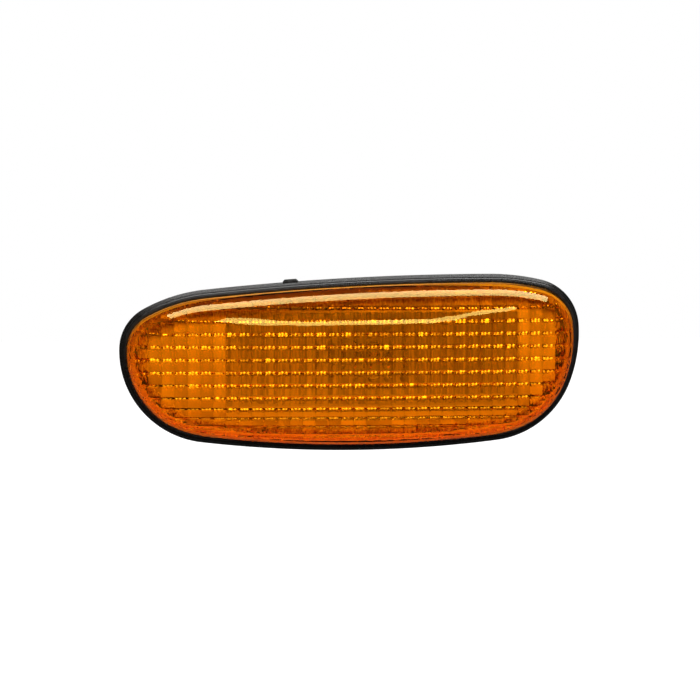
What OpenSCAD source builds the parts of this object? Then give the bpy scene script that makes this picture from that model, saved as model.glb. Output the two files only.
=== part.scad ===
// Vehicle side indicator lamp: an egg-shaped amber lens on a moulded housing, with a rubber rim,
// a spring clip, and a wedge bulb in a twist-in holder. Millimetres, +Z up, lens facing -Y.
// The origin is the middle of the rubber rim on the face of the body panel.

/* [Rim outline] */
// Length of the rubber rim, end to end
rim_length = 120; // [114:1:128]
// Height of the rubber rim
rim_height = 46; // [44:0.5:48]
// Radius of the upper right corner
upper_right_r = 13; // [11:0.5:15]
// Radius that eases the top edge into the upper right corner
top_right_r = 60; // [45:5:75]
// Radius that eases the top edge into the upper left corner
top_left_r = 42; // [35:1:50]
// Radius of the upper left corner
upper_left_r = 12; // [10.5:0.5:14]
// Radius of the lower right corner
lower_right_r = 23.5; // [21:0.5:26]

/* [Rubber rim] */
// Thickness of the sealing leg between the housing and the panel
seat_t = 1.5; // [1.2:0.1:2]
// How far the sealing leg reaches inwards from the outline
leg_w = 4.5; // [4:0.1:5]
// Height of the rim above the panel
rim_top = 4.6; // [4.4:0.1:5]
// Width of the rim as seen from the front
rim_w = 2.05; // [1.8:0.05:2.2]
// Height of the upright edge below the sloping flank
flank_foot = 0.9; // [0.6:0.1:1.2]
// Radius of the rounded crest of the rim
crest_r = 0.75; // [0.6:0.05:0.8]
// Number of fine ribs along the flank
rib_count = 4; // [2:1:5]
// Radius of each fine rib
rib_r = 0.2; // [0.12:0.02:0.24]
// Distance from one fine rib to the next
rib_pitch = 0.6; // [0.5:0.05:0.65]
// Width of the fitting tab on the top edge
tab_w = 4; // [3:0.2:5]
// How far the fitting tab stands out of the rim
tab_proud = 0.7; // [0.6:0.1:1.4]
// Thickness of the fitting tab
tab_t = 2; // [1.5:0.1:2.2]
// Direction of the outline at which the fitting tab stands, in degrees from the right
tab_direction = 94.2; // [91:0.2:96]

/* [Lens] */
// Gap between the rim and the lens skirt
lens_gap = 0.1; // [0.05:0.05:0.2]
// Height of the lens crown above the panel
lens_top = 14.5; // [13:0.5:17]
// Thickness of the lens skirt
skirt_t = 2.1; // [1.9:0.1:2.3]
// Thickness of the lens face, without its optics
face_t = 2.2; // [1.8:0.1:2.6]
// Height of the rounded shoulder
shoulder_h = 5.6; // [5:0.1:6.2]
// Width of the shoulder at the two ends
shoulder_end_w = 7; // [6:0.5:9]
// Width of the shoulder along the top edge
shoulder_top_w = 8; // [6:0.5:10]
// Width of the shoulder along the bottom edge
shoulder_bottom_w = 12; // [10:0.5:14]
// Radius of the crown from end to end
crown_long_r = 560; // [500:20:900]
// Radius of the crown from top to bottom
crown_tall_r = 90; // [80:5:160]
// Width of one upright flute of the optics
flute_pitch = 3.25; // [3:0.05:4]
// Distance of one flute's edge to the right of the middle of the rim
flute_start = 0.85; // [0:0.05:2]
// Height of each flute
flute_depth = 0.35; // [0.1:0.05:0.4]
// Height of one row of the optics, along the surface
row_pitch = 3.25; // [3:0.05:4]
// Width of the level ridge in each row
ridge_w = 1.3; // [0.8:0.1:1.8]
// Height of the level ridge in each row
ridge_depth = 0.4; // [0.2:0.05:0.6]

/* [Housing] */
// Gap between the plate's edge and the rubber
plate_gap = 0.1; // [0.05:0.05:0.2]
// Thickness of the plate
plate_t = 1.8; // [1.5:0.1:1.9]
// Thickness of the sealant bead under the lens
sealant_t = 0.3; // [0.2:0.05:0.4]
// Width of the low wall that centres the lens
curb_w = 1.1; // [0.8:0.1:1.4]
// Height of the low wall that centres the lens
curb_h = 1.2; // [0.8:0.1:1.4]
// Distance from the rim's left end to the bulb chamber
chamber_left = 27.7; // [26:0.1:30]
// Distance from the rim's right end to the bulb chamber
chamber_right = 15.3; // [15:0.1:18]
// Height of the bulb chamber
chamber_h = 28.4; // [26:0.2:29]
// Depth of the bulb chamber behind the panel face
chamber_d = 25; // [24:0.5:30]
// Distance of the chamber above the middle of the rim
chamber_y = -0.4; // [-1:0.1:0]
// Corner radius of the chamber
chamber_r = 3; // [2:0.5:5]
// Thickness of the chamber walls
wall_t = 1.6; // [1.4:0.1:2]
// Draft of the chamber walls, in degrees
draft = 1; // [0.5:0.25:1.5]
// Thickness of the panel that the hooks hold
panel_t = 1.2; // [0.8:0.1:1.5]
// Width of the fixed hook
hook_w = 12; // [8:1:16]
// How far the fixed hook reaches out
hook_reach = 4; // [3:0.5:5]

/* [Spring clip] */
// Width of the clip
clip_w = 11; // [8:1:12]
// Height of the middle of the clip above the middle of the rim
clip_y = 1.5; // [1:0.1:2]
// Thickness of the spring steel
clip_t = 0.5; // [0.4:0.05:0.6]
// Length of the leg that lies on the housing
clip_leg = 17; // [15:0.5:19]
// How far the sprung leg bows out
clip_bow = 3; // [2.5:0.1:3.2]
// Height of the moulded nib that holds the clip
nib_h = 1.1; // [0.8:0.1:1.4]

/* [Bulb] */
// Diameter of the glass envelope
bulb_d = 10.2; // [9.8:0.1:10.6]
// Length of the bulb from its base to its tip
bulb_l = 26.4; // [25:0.2:28]
// Thickness of the glass
glass_t = 0.6; // [0.5:0.05:0.8]
// Width of the flat pressed base
base_w = 9.2; // [8.8:0.1:9.6]
// Thickness of the flat pressed base
base_t = 2.5; // [2.1:0.1:2.8]
// Length of the flat pressed base
base_l = 8.8; // [8:0.2:9.4]
// Diameter of the lead wires
lead_d = 0.5; // [0.4:0.02:0.56]
// Distance of each lead wire from the bulb's axis
lead_x = 3; // [2.7:0.1:3.2]
// Distance between the two ends of the filament
filament_span = 4.4; // [4:0.2:5]
// Diameter of the filament's coil
coil_d = 0.7; // [0.5:0.1:0.9]
// Diameter of the filament's wire
filament_d = 0.14; // [0.1:0.02:0.16]
// Number of turns in the filament
coil_turns = 11; // [8:1:12]

/* [Bulb holder] */
// Diameter of the barrel that carries the bulb
barrel_d = 13.8; // [13.6:0.1:14.2]
// Gap between the barrel and the hole in the housing
barrel_gap = 0.2; // [0.1:0.05:0.3]
// How far the barrel stands into the chamber
barrel_in = 4.5; // [4:0.1:5]
// How far the three lugs reach out of the barrel
lug_reach = 1.9; // [1.5:0.1:2]
// Width of each lug
lug_w = 5; // [4:0.5:6]
// Thickness of each lug
lug_t = 1.6; // [1.2:0.1:1.8]
// Thickness of the sealing ring, as squeezed
ring_t = 1.8; // [1.6:0.1:2]
// Diameter of the sealing ring's round section
ring_d = 2; // [1.8:0.1:2.2]
// Gap between the sealing ring and the holes for the lugs
ring_gap = 0.2; // [0.1:0.05:0.3]
// Width of the flange outside the sealing ring
flange_edge = 0.3; // [0.2:0.1:0.5]
// Thickness of the holder's flange
flange_t = 2.2; // [1.8:0.1:2.6]
// Inner width of the plug socket
socket_w = 13.4; // [12.8:0.1:14]
// Inner height of the plug socket
socket_h = 9.4; // [9.2:0.1:9.8]
// Depth of the plug socket
socket_d = 11; // [10:0.5:12]
// Thickness of the plug socket's wall
socket_wall = 1.5; // [1.2:0.1:1.8]
// Thickness of the brass contacts
contact_t = 0.6; // [0.5:0.05:0.7]
// Width of the brass contacts
contact_w = 2.8; // [2.4:0.1:3]
// Gap between each contact and its slot
contact_gap = 0.1; // [0.05:0.05:0.15]
// Length of each contact blade inside the plug socket
blade_l = 8; // [7:0.5:9]

/* [Hidden] */
$fn = 64;

// The outline is a closed chain of arcs. Each arc starts at one of these directions, and hands over
// to the next with a shared tangent, so that an inset line is the same chain with smaller radii.
arc_from = [-21, 4, 77, 90, 96, 119, 178, 263, 277];
arc_last = len(arc_from) - 1;
arc_to = [for (k = [0 : arc_last]) k < arc_last ? arc_from[k + 1] : arc_from[0] + 360];

// The four long arcs, at the right, top, left and bottom, take up the length and the height.
set_r = [0, upper_right_r, top_right_r, 0, top_left_r, upper_left_r, 0, 0, lower_right_r];
long_arcs = [for (k = [0 : arc_last]) if (set_r[k] == 0) k];

function heading(a) = [cos(a), sin(a)];
function total(v) = v * [for (x = v) 1];

// Step made by arc k of radius 1 between the directions a and b
function arc_part(k, a, b) =
    let (low = max(arc_from[k], a), high = min(arc_to[k], b))
    high > low ? heading(high) - heading(low) : [0, 0];
function arc_step(k, a, b) = arc_part(k, a, b) + arc_part(k, a - 360, b - 360);

// Share of arc k in the top length, the bottom length, the left height and the right height
function arc_share(k) =
    [-arc_step(k, 0, 180).x, arc_step(k, 180, 360).x, -arc_step(k, 90, 270).y, arc_step(k, 270, 450).y];

// The long radii solve four equations, by determinants
function less(m, column) =
    [for (r = [1 : len(m) - 1]) [for (c = [0 : len(m) - 1]) if (c != column) m[r][c]]];
function determinant(m) =
    len(m) == 1 ? m[0][0]
    : total([for (c = [0 : len(m) - 1]) (c % 2 == 0 ? 1 : -1) * m[0][c] * determinant(less(m, c))]);
long_share = [for (k = long_arcs) arc_share(k)];
rest = [rim_length, rim_length, rim_height, rim_height]
    - [for (i = [0 : 3]) total([for (k = [0 : arc_last]) set_r[k] * arc_share(k)[i]])];
function long_r(j) =
    determinant([for (i = [0 : 3]) i == j ? rest : long_share[i]]) / determinant(long_share);
arc_r = [for (k = [0 : arc_last]) set_r[k] > 0 ? set_r[k] : long_r(search(k, long_arcs)[0])];

// Centres of the arcs, with the middle of the outline at the origin
chain = [for (k = 0, c = [0, 0]; k <= arc_last;
    c = k < arc_last ? c + (arc_r[k] - arc_r[k + 1]) * heading(arc_from[k + 1]) : c, k = k + 1) c];
function arc_at(a) = [for (k = [0 : arc_last]) if (a >= arc_from[k] && a < arc_to[k]) k][0];
function chain_point(a) = chain[arc_at(a)] + arc_r[arc_at(a)] * heading(a);
middle = [chain_point(0).x + chain_point(180).x, chain_point(90).y + chain_point(270).y] / 2;
arc_c = [for (c = chain) c - middle];
function edge_point(a, inset) = arc_c[arc_at(a)] + (arc_r[arc_at(a)] - inset) * heading(a);

// Directions at which the outline is sampled, so that no chord leaves its arc by more than this
chord_error = 0.036;
directions = [for (k = [0 : arc_last])
    let (turn = arc_to[k] - arc_from[k], n = ceil(turn * PI / 180 * sqrt(arc_r[k] / (8 * chord_error))))
    for (i = [0 : n - 1]) arc_from[k] + turn * i / n];
function outline(inset) = [for (a = directions) edge_point(a, inset)];

// Nearest place on the outline to a point inside it: its distance and its direction
function places(p) = [for (k = [0 : arc_last])
    let (v = p - arc_c[k], turned = atan2(v.y, v.x), a = turned < arc_from[0] ? turned + 360 : turned)
    if (a >= arc_from[k] - 0.001 && a <= arc_to[k] + 0.001) [arc_r[k] - norm(v), a]];
function nearest(p) =
    let (found = places(p), least = min([for (f = found) f[0]])) [for (f = found) if (f[0] == least) f][0];

// Levels above the panel face
plate_top = seat_t + plate_t;
lens_foot = plate_top + sealant_t;

// Insets from the outline
groove_inset = 1.5;
plate_inset = groove_inset + plate_gap;
lens_inset = rim_w + lens_gap;
cavity_inset = lens_inset + skirt_t;
curb_gap = 0.2;
curb_inset = cavity_inset + curb_gap;
spigot_gap = 0.2;
spigot_w = 1;
spigot_inset = leg_w + spigot_gap;

// The lens surface: a crowned face with a rounded shoulder that is wider along the bottom
function shoulder_w(a) =
    let (up = max(0, sin(a)), down = max(0, -sin(a)))
    shoulder_end_w + (shoulder_top_w - shoulder_end_w) * up * up
        + (shoulder_bottom_w - shoulder_end_w) * down * down;
function crown_drop(p) = p.x * p.x / (2 * crown_long_r) + p.y * p.y / (2 * crown_tall_r);
function shoulder_rise(u) = sqrt(1 - pow(1 - min(1, max(0, u)), 2));
function face_z(p) = lens_top - crown_drop(p);
shoulder_steps = 8;
crown_steps = 4;

// Levels of the optics rows, each one pitch further up the surface of the middle section, and closer
// together where the surface turns away at the bottom
function section_z(y) =
    let (place = nearest([0, y]), w = shoulder_w(place[1]))
    face_z([0, y]) - shoulder_h * (1 - shoulder_rise((place[0] - lens_inset) / w));
probe = 0.05;
function section_tilt(y) = atan((section_z(y + probe) - section_z(y - probe)) / (2 * probe));
optics_low = edge_point(270, cavity_inset).y;
optics_high = edge_point(90, cavity_inset).y;
optics_left = edge_point(180, cavity_inset).x;
optics_right = edge_point(0, cavity_inset).x;
row_start = 0.95;
row_squeeze = 2.5;
function rows(y, turn) = abs(y) > 30 || (turn > 0 && y > optics_high) || (turn < 0 && y < optics_low)
    ? [y]
    : let (share = cos(section_tilt(y)))
        concat([y], rows(y + turn * row_pitch * (turn > 0 ? share : pow(share, row_squeeze)), turn));
rows_down = rows(row_start, -1);
rows_up = rows(row_start, 1);
row_edges = concat([for (i = [len(rows_down) - 1 : -1 : 1]) rows_down[i]], rows_up);

// Grid lines of the optics: three in each flute, four in each row
flute_first = ceil((optics_left - flute_start - flute_pitch) / flute_pitch);
flute_last = ceil((optics_right - flute_start) / flute_pitch);
grid_x = [for (i = [flute_first : flute_last]) for (s = [0, 1, 2])
    [flute_start + (i + s / 3) * flute_pitch, s / 3]];
row_last = len(row_edges) - 1;
grid_y = concat([for (i = [0 : row_last - 1])
    let (pitch = row_edges[i + 1] - row_edges[i], w = min(ridge_w, pitch * 0.45))
    for (s = [0, w / 2, w]) [row_edges[i] + s, s == w / 2 ? 1 : 0]], [[row_edges[row_last], 0]]);
function flute(s) = flute_depth * (1 - pow(2 * s - 1, 2));

// Inner surface of the lens at a point, with its flutes and ridges standing towards the bulb
function optics_z(gx, gy) =
    let (p = [gx[0], gy[0]], place = nearest(p), w = shoulder_w(place[1]) - skirt_t,
        smooth = face_z(p) - face_t - shoulder_h * (1 - shoulder_rise((place[0] - cavity_inset) / w)))
    smooth - flute(gx[1]) - ridge_depth * gy[1];

// The bulb stands on the chamber's axis, with its base in the holder's barrel
chamber_w = rim_length - chamber_left - chamber_right;
chamber_x = (chamber_left - chamber_right) / 2;
chamber_rear = -chamber_d;
wall_rear = chamber_rear - wall_t;
flange_front = wall_rear - ring_t;
flange_rear = flange_front - flange_t;
barrel_front = chamber_rear + barrel_in;
base_foot = barrel_front - base_l;
bulb_tip = base_foot + bulb_l;
envelope_foot = barrel_front + 4.5;
filament_z = bulb_tip - 8;
contact_turn = lead_d + 1.9;
pocket_floor = base_foot - contact_turn;
socket_floor = pocket_floor - 3.6;
socket_mouth = socket_floor - socket_d;
socket_r = 2;
lug_count = 3;
lug_turn = 60;
hole_r = barrel_d / 2 + barrel_gap;
lug_clear = 0.3;
ring_inner = hole_r + lug_reach + lug_clear + ring_gap;
flange_d = 2 * (ring_inner + ring_d + flange_edge);
collar_gap = 0.4;
collar_t = 1.3;
collar_l = ring_t + flange_t + 0.3;
collar_r = flange_d / 2 + collar_gap;
lead_side = base_t / 2 + lead_d / 2;
lead_below = base_foot - lead_d / 2 - 0.1;
contact_y = base_t / 2 + lead_d + contact_t / 2 + 0.05;
contact_x = lead_x;

// The clip's pad is a flat on the chamber's right-hand wall
pad_h = 0.8;
pad_x = chamber_x + chamber_w / 2 + wall_t + pad_h;
clip_x = pad_x + clip_t / 2;
clip_top = -1.4;
clip_bend_r = 1.3;
nib_w = 5;
nib_l = 3.5;
nib_gap = 0.2;
nib_z = clip_top - clip_leg * 0.55;

// Turns a piece drawn face up so that it faces forwards
module face_front() rotate([90, 0, 0]) children();

// Carries a section round the outline: its x is the distance outside the outline, its y the height
module round_outline(section) {
    n = len(directions);
    m = len(section);
    points = [for (a = directions) for (q = section) let (p = edge_point(a, -q.x)) [p.x, p.y, q.y]];
    walls = [for (i = [0 : n - 1]) for (j = [0 : m - 1])
        let (next = (i + 1) % n, up = (j + 1) % m) [i * m + j, i * m + up, next * m + up, next * m + j]];
    polyhedron(points, walls);
}

// A band between two insets and two levels
module band(inset, width, low, high) {
    n = len(directions);
    linear_level(low, high - low)
        polygon(concat(outline(inset), outline(inset + width)),
            [[for (i = [0 : n - 1]) i], [for (i = [0 : n - 1]) n + i]]);
}

module rounded_box(w, h, r, l)
    linear_extrude(l)
        rounded_rectangle(w, h, r);

module rounded_rectangle(w, h, r) {
    square([w - 2 * r, h], center = true);
    square([w, h - 2 * r], center = true);
    for (x = [-1, 1], y = [-1, 1])
        translate([x * (w / 2 - r), y * (h / 2 - r)])
            circle(r);
}

// A strip of even thickness along a bent path, with mitred bends
function leftwards(step) = [-step.y, step.x] / norm(step);
function strip_edge(path, off) =
    let (last = len(path) - 1)
    [for (i = [0 : last])
        let (before = max(i, 1), after = min(i + 1, last),
            a = leftwards(path[before] - path[before - 1]), b = leftwards(path[after] - path[after - 1]))
        path[i] + off * (a + b) / (1 + a * b)];
module bent_strip(path, t) {
    near = strip_edge(path, t / 2);
    far = strip_edge(path, -t / 2);
    polygon(concat(near, [for (i = [len(far) - 1 : -1 : 0]) far[i]]));
}

// Rubber rim

function tangent_point(p, c, r) =
    let (v = c - p, a = atan2(v.y, v.x) - asin(r / norm(v)), l = sqrt(v * v - r * r)) p + l * heading(a);

// Section of the rim, from its sealing leg up the ribbed flank, over the crest and into the groove
rim_edge = 0.3;
lip_r = 0.25;
first_rib = 0.5;
crest = [-2 * crest_r, rim_top - crest_r];
lip = [lip_r - rim_w, rim_top - lip_r];
foot = [0, flank_foot];
flank_end = tangent_point(foot, crest, crest_r);
flank = (flank_end - foot) / norm(flank_end - foot);
outwards = [flank.y, -flank.x];
ribs = [for (i = [0 : rib_count - 1]) for (s = [-1, 0, 1])
    foot + flank * (first_rib + i * rib_pitch + s * rib_r) + outwards * (s == 0 ? rib_r : 0)];
flank_turn = atan2(outwards.y, outwards.x);
rim_section = concat(
    [[-leg_w, 0], [-rim_edge, 0], [0, rim_edge]], ribs,
    [for (s = [0 : 3]) crest + crest_r * heading(flank_turn + (90 - flank_turn) * s / 3)],
    [for (a = [90, 135, 180]) lip + lip_r * heading(a)],
    [[-rim_w, plate_top], [-groove_inset, plate_top], [-groove_inset, seat_t], [-leg_w, seat_t]]);

module fitting_tab() {
    root = 1;
    chamfer = 0.5;
    level = 0.7;
    translate(edge_point(tab_direction, 0))
        rotate(tab_direction - 90)
            translate([0, 0, level])
                linear_extrude(tab_t)
                    polygon([[-tab_w / 2, -root], [tab_w / 2, -root], [tab_w / 2, tab_proud - chamfer],
                        [tab_w / 2 - chamfer, tab_proud], [chamfer - tab_w / 2, tab_proud],
                        [-tab_w / 2, tab_proud - chamfer]]);
}

module gasket()
    color([0.09, 0.095, 0.09])
        face_front() {
            round_outline(rim_section);
            fitting_tab();
        }

// Housing

// The chamber's outline, grown by a wall: a rounded rectangle kept inside the sealing leg
module chamber_outline(grow)
    intersection() {
        translate([chamber_x, chamber_y])
            rounded_rectangle(chamber_w + 2 * grow, chamber_h + 2 * grow, chamber_r + grow, $fn = 32);
        polygon(outline(spigot_inset + wall_t - grow));
    }

module chamber_form(grow, front, rear) {
    taper = (front - rear) * tan(draft);
    slab = 0.01;
    hull() {
        linear_level(front - slab, slab)
            chamber_outline(grow);
        linear_level(rear, slab)
            chamber_outline(grow - taper);
    }
}

module plate() {
    linear_level(seat_t, plate_t)
        polygon(outline(plate_inset));
    band(curb_inset, curb_w, plate_top - plate_t / 2, plate_top + curb_h);
    band(spigot_inset, spigot_w, seat_t / 4, seat_t + plate_t / 2);
}

module linear_level(level, t)
    translate([0, 0, level])
        linear_extrude(t)
            children();

module at_bulb()
    translate([chamber_x, chamber_y, 0])
        children();

module holder_hole() {
    cut = 1;
    translate([0, 0, wall_rear - cut])
        cylinder(h = wall_t + 2 * cut, r = hole_r);
    for (i = [0 : lug_count - 1])
        rotate(i * 360 / lug_count + lug_turn)
            translate([hole_r - cut, -lug_w / 2 - lug_clear, wall_rear - cut])
                cube([lug_reach + lug_clear + cut, lug_w + 2 * lug_clear, wall_t + 2 * cut]);
}

module collar()
    translate([0, 0, wall_rear - collar_l])
        difference() {
            cylinder(h = collar_l + wall_t / 2, r = collar_r + collar_t);
            translate([0, 0, -1])
                cylinder(h = collar_l + 1, r = collar_r);
        }

module fixed_hook() {
    root_x = chamber_x - chamber_w / 2 - wall_t / 2;
    tip_x = chamber_x - chamber_w / 2 - wall_t - hook_reach;
    hook_t = 1.6;
    ramp_l = 8;
    translate([0, chamber_y, 0])
        rotate([90, 0, 0])
            linear_extrude(hook_w, center = true)
                polygon([[root_x, -panel_t], [tip_x, -panel_t], [tip_x, -panel_t - hook_t],
                    [root_x - wall_t, -panel_t - ramp_l], [root_x, -panel_t - ramp_l]]);
}

module clip_pad() {
    margin = 1;
    root_x = chamber_x + chamber_w / 2 + wall_t / 2;
    translate([root_x, clip_y - clip_w / 2 - margin, clip_top - clip_leg - margin])
        cube([pad_x - root_x, clip_w + 2 * margin, clip_leg + 2 * margin]);
    translate([0, clip_y, nib_z])
        rotate([90, 0, 0])
            linear_extrude(nib_w, center = true)
                polygon([[root_x, -nib_l / 2], [pad_x + clip_t, -nib_l / 2], [pad_x + nib_h, nib_l / 4],
                    [pad_x + nib_h, nib_l / 2], [root_x, nib_l / 2]]);
}

module housing()
    color([0.86, 0.86, 0.84])
        face_front()
            difference() {
                union() {
                    plate();
                    chamber_form(wall_t, plate_top, wall_rear);
                    at_bulb()
                        collar();
                    fixed_hook();
                    clip_pad();
                }
                chamber_form(0, plate_top + 1, chamber_rear);
                at_bulb()
                    holder_hole();
            }

// Bead of sealant between the plate and the lens skirt
module lens_sealant()
    color([0.75, 0.74, 0.7])
        face_front() {
            margin = 0.15;
            band(lens_inset + margin, skirt_t - 2 * margin, plate_top, lens_foot);
        }

// Lens

// The outer form: rings up the skirt and the shoulder, then smaller rings to the crown's top
module lens_form() {
    n = len(directions);
    function shoulder_ring(turn) = [for (a = directions)
        let (w = shoulder_w(a), p = edge_point(a, lens_inset + w * (1 - cos(turn))))
        [p.x, p.y, face_z(p) - shoulder_h * (1 - sin(turn))]];
    top_ring = shoulder_ring(90);
    function crown_ring(share) = [for (q = top_ring) let (p = share * [q.x, q.y]) [p.x, p.y, face_z(p)]];
    foot_ring = [for (a = directions) let (p = edge_point(a, lens_inset)) [p.x, p.y, lens_foot]];
    rings = concat([foot_ring],
        [for (i = [0 : shoulder_steps]) shoulder_ring(90 * i / shoulder_steps)],
        [for (i = [1 : crown_steps - 1]) crown_ring(1 - i / crown_steps)]);
    apex = len(rings) * n;
    sides = [for (r = [0 : len(rings) - 2]) for (i = [0 : n - 1]) for (half = [0, 1])
        let (j = (i + 1) % n, low = r * n, high = low + n)
        half == 0 ? [low + i, high + j, low + j] : [low + i, high + i, high + j]];
    cap = [for (i = [0 : n - 1]) [apex - n + i, apex, apex - n + (i + 1) % n]];
    polyhedron([for (ring = rings) for (p = ring) p, [0, 0, face_z([0, 0])]] ,
        concat([[for (i = [0 : n - 1]) i]], sides, cap));
}

// Everything below the inner surface, with its flutes and ridges
module optics_form() {
    nx = len(grid_x);
    ny = len(grid_y);
    floor_z = lens_foot - 2;
    curb_room = plate_top + curb_h + 0.3;
    top = [for (gy = grid_y) for (gx = grid_x) [gx[0], gy[0], max(optics_z(gx, gy), curb_room)]];
    low = [for (p = top) [p.x, p.y, floor_z]];
    shift = nx * ny;
    border = concat([for (i = [0 : nx - 1]) i], [for (j = [1 : ny - 1]) j * nx + nx - 1],
        [for (i = [nx - 2 : -1 : 0]) (ny - 1) * nx + i], [for (j = [ny - 2 : -1 : 1]) j * nx]);
    nb = len(border);
    skin = [for (j = [0 : ny - 2]) for (i = [0 : nx - 2]) for (half = [0, 1])
        let (a = j * nx + i, b = a + 1, c = a + nx, d = c + 1)
        half == 0 ? [a, d, b] : [a, c, d]];
    sides = [for (i = [0 : nb - 1]) let (a = border[i], b = border[(i + 1) % nb])
        [a, b, b + shift, a + shift]];
    polyhedron(concat(top, low), concat(skin, [for (f = skin) [f[0] + shift, f[2] + shift, f[1] + shift]],
        sides));
}

// Small ribs that centre the skirt on the curb
module centring_ribs() {
    count = 10;
    rib_foot = 0.28;
    rib_head = 0.2;
    for (i = [0 : count - 1]) {
        a = 10 + i * 360 / count;
        turn = a > arc_to[arc_last] ? a - 360 : a;
        hull() {
            translate(concat(edge_point(turn, cavity_inset), lens_foot + 0.1))
                cylinder(h = 0.1, d = rib_foot, $fn = 12);
            translate(concat(edge_point(turn, cavity_inset), lens_foot + 0.9))
                cylinder(h = 0.1, d = rib_head, $fn = 12);
        }
    }
}

module lens()
    color([1, 0.5, 0.02, 0.75])
        face_front() {
            difference() {
                lens_form();
                intersection() {
                    linear_level(lens_foot - 1, lens_top)
                        polygon(outline(cavity_inset));
                    optics_form();
                }
            }
            centring_ribs();
        }

// Spring clip on the right-hand end of the chamber
module spring_clip()
    color([0.7, 0.71, 0.73])
        face_front() {
            low = clip_top - clip_leg;
            bend = [for (a = [180 : 30 : 360])
                [clip_x + clip_bend_r, low + clip_bend_r] + clip_bend_r * heading(a)];
            knee = [clip_x + 2 * clip_bend_r + clip_bow, -panel_t - 5];
            tail = [knee.x - clip_bow * 0.8, -panel_t + 0.6];
            difference() {
                translate([0, clip_y, 0])
                    rotate([90, 0, 0])
                        linear_extrude(clip_w, center = true)
                            bent_strip(concat([[clip_x, clip_top]], bend, [knee, tail]), clip_t);
                translate([pad_x - 1, clip_y - nib_w / 2 - nib_gap, nib_z - nib_l / 2 - nib_gap])
                    cube([clip_t + 1.2, nib_w + 2 * nib_gap, nib_l + 2 * nib_gap]);
            }
        }

// Bulb

module lead_bore(side)
    translate([side * lead_x, 0, base_foot - 1])
        cylinder(h = envelope_foot - base_foot, d = lead_d + 0.04);

module envelope_profile(r, low)
    intersection() {
        union() {
            translate([0, bulb_tip - bulb_d / 2])
                circle(r);
            translate([-r, low])
                square([2 * r, bulb_tip - bulb_d / 2 - low]);
        }
        translate([0, low])
            square([bulb_d, bulb_l]);
    }

module bulb_glass()
    color([0.92, 0.94, 0.95, 0.4])
        face_front()
            at_bulb()
                difference() {
                    cavity_r = bulb_d / 2 - glass_t;
                    cavity_foot = envelope_foot - 2;
                    union() {
                        rotate_extrude()
                            envelope_profile(bulb_d / 2, envelope_foot);
                        intersection() {
                            translate([0, 0, base_foot])
                                cylinder(h = envelope_foot - base_foot, r = bulb_d / 2);
                            rotate([90, 0, 90])
                                linear_extrude(bulb_d, center = true)
                                    polygon([[-base_t / 2, base_foot], [base_t / 2, base_foot],
                                        [base_t / 2, barrel_front], [bulb_d / 2, envelope_foot],
                                        [-bulb_d / 2, envelope_foot], [-base_t / 2, barrel_front]]);
                            translate([-base_w / 2, -bulb_d / 2, base_foot - 1])
                                cube([base_w, bulb_d, base_l + 1 + envelope_foot - barrel_front]);
                        }
                    }
                    rotate_extrude()
                        envelope_profile(cavity_r, envelope_foot);
                    translate([0, 0, cavity_foot])
                        cylinder(h = envelope_foot - cavity_foot, r1 = cavity_r / 2, r2 = cavity_r);
                    lead_bore(-1);
                    lead_bore(1);
                }

// Coil of tungsten wire, swept along a helix between the two lead wires
module bulb_filament()
    color([0.45, 0.45, 0.47])
        face_front()
            at_bulb() {
                per_turn = 9;
                sides = 4;
                rings = coil_turns * per_turn;
                coil_r = (coil_d - filament_d) / 2;
                span = filament_span - lead_d - filament_d;
                points = [for (i = [0 : rings]) for (s = [0 : sides - 1])
                    let (turn = 360 * i / per_turn, around = 360 * s / sides,
                        r = coil_r + filament_d / 2 * cos(around))
                    [span * (i / rings - 0.5) + filament_d / 2 * sin(around), r * cos(turn),
                        filament_z + r * sin(turn)]];
                walls = [for (i = [0 : rings - 1]) for (s = [0 : sides - 1])
                    let (a = i * sides + s, b = i * sides + (s + 1) % sides)
                    [a, b, b + sides, a + sides]];
                near = [for (s = [sides - 1 : -1 : 0]) s];
                far = [for (s = [0 : sides - 1]) rings * sides + s];
                polyhedron(points, concat([near], walls, [far]));
            }

module round_wire(path, d) {
    joint = 0.02;
    for (i = [0 : len(path) - 1]) {
        translate(path[i])
            sphere(d = d + joint);
        if (i > 0) {
            step = path[i] - path[i - 1];
            translate(path[i - 1])
                rotate([0, acos(step.z / norm(step)), atan2(step.y, step.x)])
                    cylinder(h = norm(step), d = d);
        }
    }
}

// Lead wire from the filament through the base, folded up one face of the base
module lead(side)
    color([0.75, 0.75, 0.74])
        face_front()
            at_bulb()
                rotate(side > 0 ? 180 : 0)
                    round_wire([[-filament_span / 2, 0, filament_z + coil_d / 2],
                        [-filament_span / 2, 0, filament_z - 1.5], [-lead_x, 0, envelope_foot],
                        [-lead_x, 0, lead_below], [-lead_x, lead_side, lead_below],
                        [-lead_x, lead_side, base_foot + base_l * 0.7]], lead_d);

module bulb_lead_left() lead(-1);
module bulb_lead_right() lead(1);

// Bulb holder

// Path of a contact: a bowed spring along the bulb's base, a turn below it, and a straight blade
function contact_path(t) = [[contact_y + 0.95, barrel_front - 0.7], [contact_y + 0.75, barrel_front - 1.8],
    [contact_y, barrel_front - 5], [contact_y + 0.35, base_foot + 0.2], [contact_y + 0.35, base_foot - 0.5],
    [0, pocket_floor + t], [0, socket_floor - blade_l]];

module contact(side)
    color([0.8, 0.62, 0.25])
        face_front()
            at_bulb()
                rotate(side > 0 ? 180 : 0)
                    translate([-contact_x, 0, 0])
                        rotate([90, 0, 90])
                            linear_extrude(contact_w, center = true)
                                bent_strip(contact_path(contact_t), contact_t);

module contact_left() contact(-1);
module contact_right() contact(1);

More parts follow.
